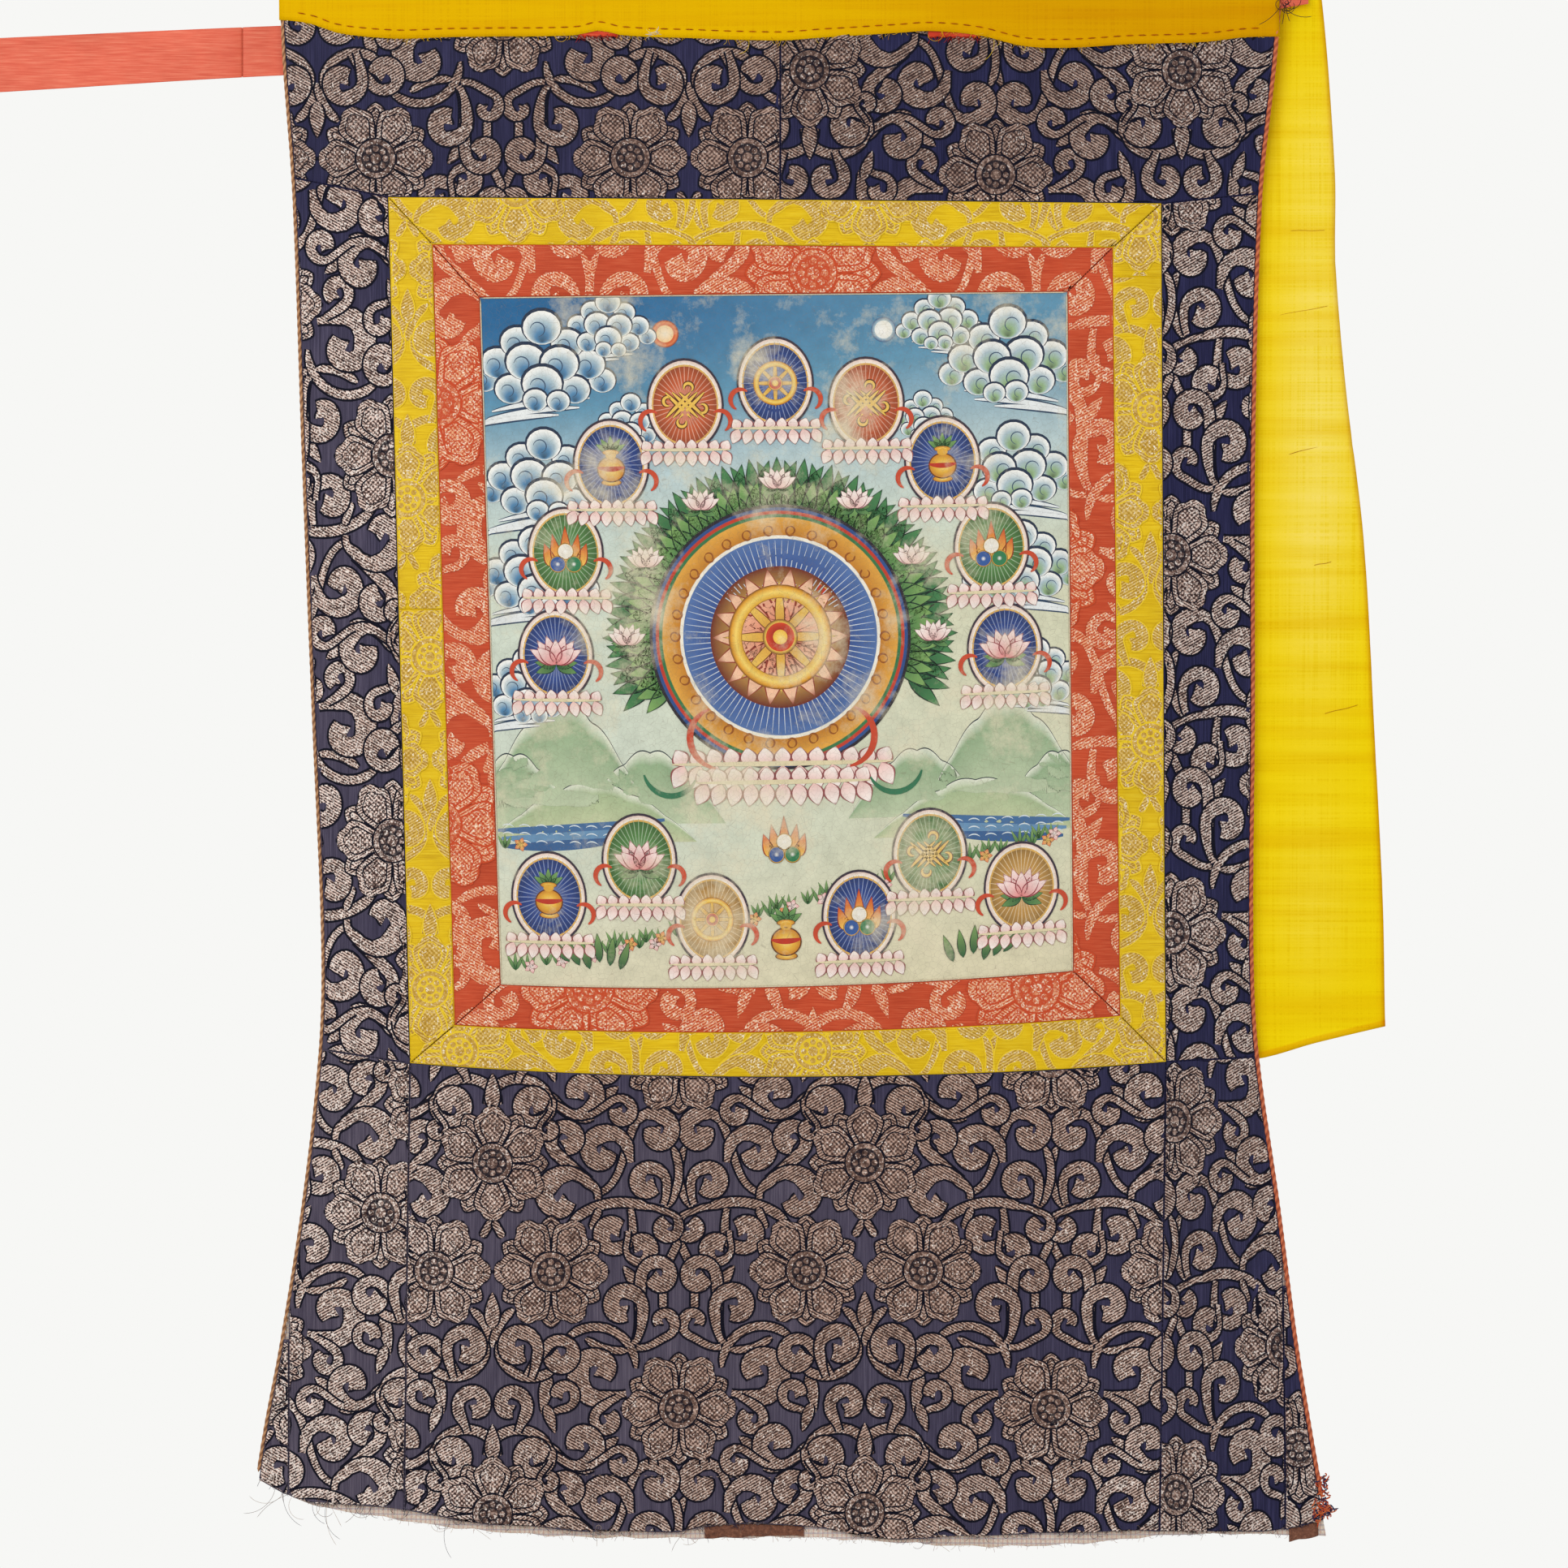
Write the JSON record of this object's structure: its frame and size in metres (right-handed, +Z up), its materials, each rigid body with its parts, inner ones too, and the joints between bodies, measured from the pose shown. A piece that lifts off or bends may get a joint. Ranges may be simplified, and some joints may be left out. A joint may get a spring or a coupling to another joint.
{
  "type": "thangka scroll painting",
  "caption": "Hung scroll painting: painted cloth framed by mitred red and yellow silk bands and a navy brocade mount, with a yellow silk veil thrown back over the top.",
  "frame": {"origin": "middle of the hanging edge, where the veil folds over the top", "axes": "+Z up, +X to the right as the painting is seen, +Y away from the viewer, so the painted face looks along -Y"},
  "size_m": [1.278, 0.0544, 1.4305],
  "materials": {
    "painted_canvas": "matt mineral paint on sized cotton, rubbed and cracked",
    "red_silk": "orange-red silk with fine pale gold scrolling",
    "yellow_silk": "yellow satin silk with gold scrolling",
    "brocade": "navy satin silk with tarnished metal-thread lotus scrolls",
    "lining_cotton": "thin plain-weave cotton with a faint check",
    "facing_cotton": "worn brown cotton",
    "piping_cord": "twisted orange-red cord",
    "veil_silk": "thin slubby yellow silk, creased from folding",
    "ribbon_silk": "faded salmon-red silk"
  },
  "bodies": {
    "root": {"painted_canvas": "painted_canvas", "red_band_top": "red_silk", "red_band_bottom": "red_silk", "red_band_left": "red_silk", "red_band_right": "red_silk", "yellow_band_top": "yellow_silk", "yellow_band_bottom": "yellow_silk", "yellow_band_left_upper": "yellow_silk", "yellow_band_left_lower": "yellow_silk", "yellow_band_right_upper": "yellow_silk", "yellow_band_right_lower": "yellow_silk", "brocade_top_left": "brocade", "brocade_top_right": "brocade", "brocade_strip_left": "brocade", "brocade_strip_right": "brocade", "brocade_lower_centre": "brocade", "brocade_lower_left": "brocade", "brocade_lower_right": "brocade", "brocade_gusset_left": "brocade", "brocade_gusset_right": "brocade", "lining": "lining_cotton", "hem_facing_centre": "facing_cotton", "hem_facing_corner": "facing_cotton", "piping_left": "piping_cord", "piping_right": "piping_cord", "veil": "veil_silk", "ribbon_tail": "ribbon_silk", "ribbon_band": "ribbon_silk", "streamer_end_left": "ribbon_silk", "streamer_end_right": "ribbon_silk"}
  },
  "joints": []
}
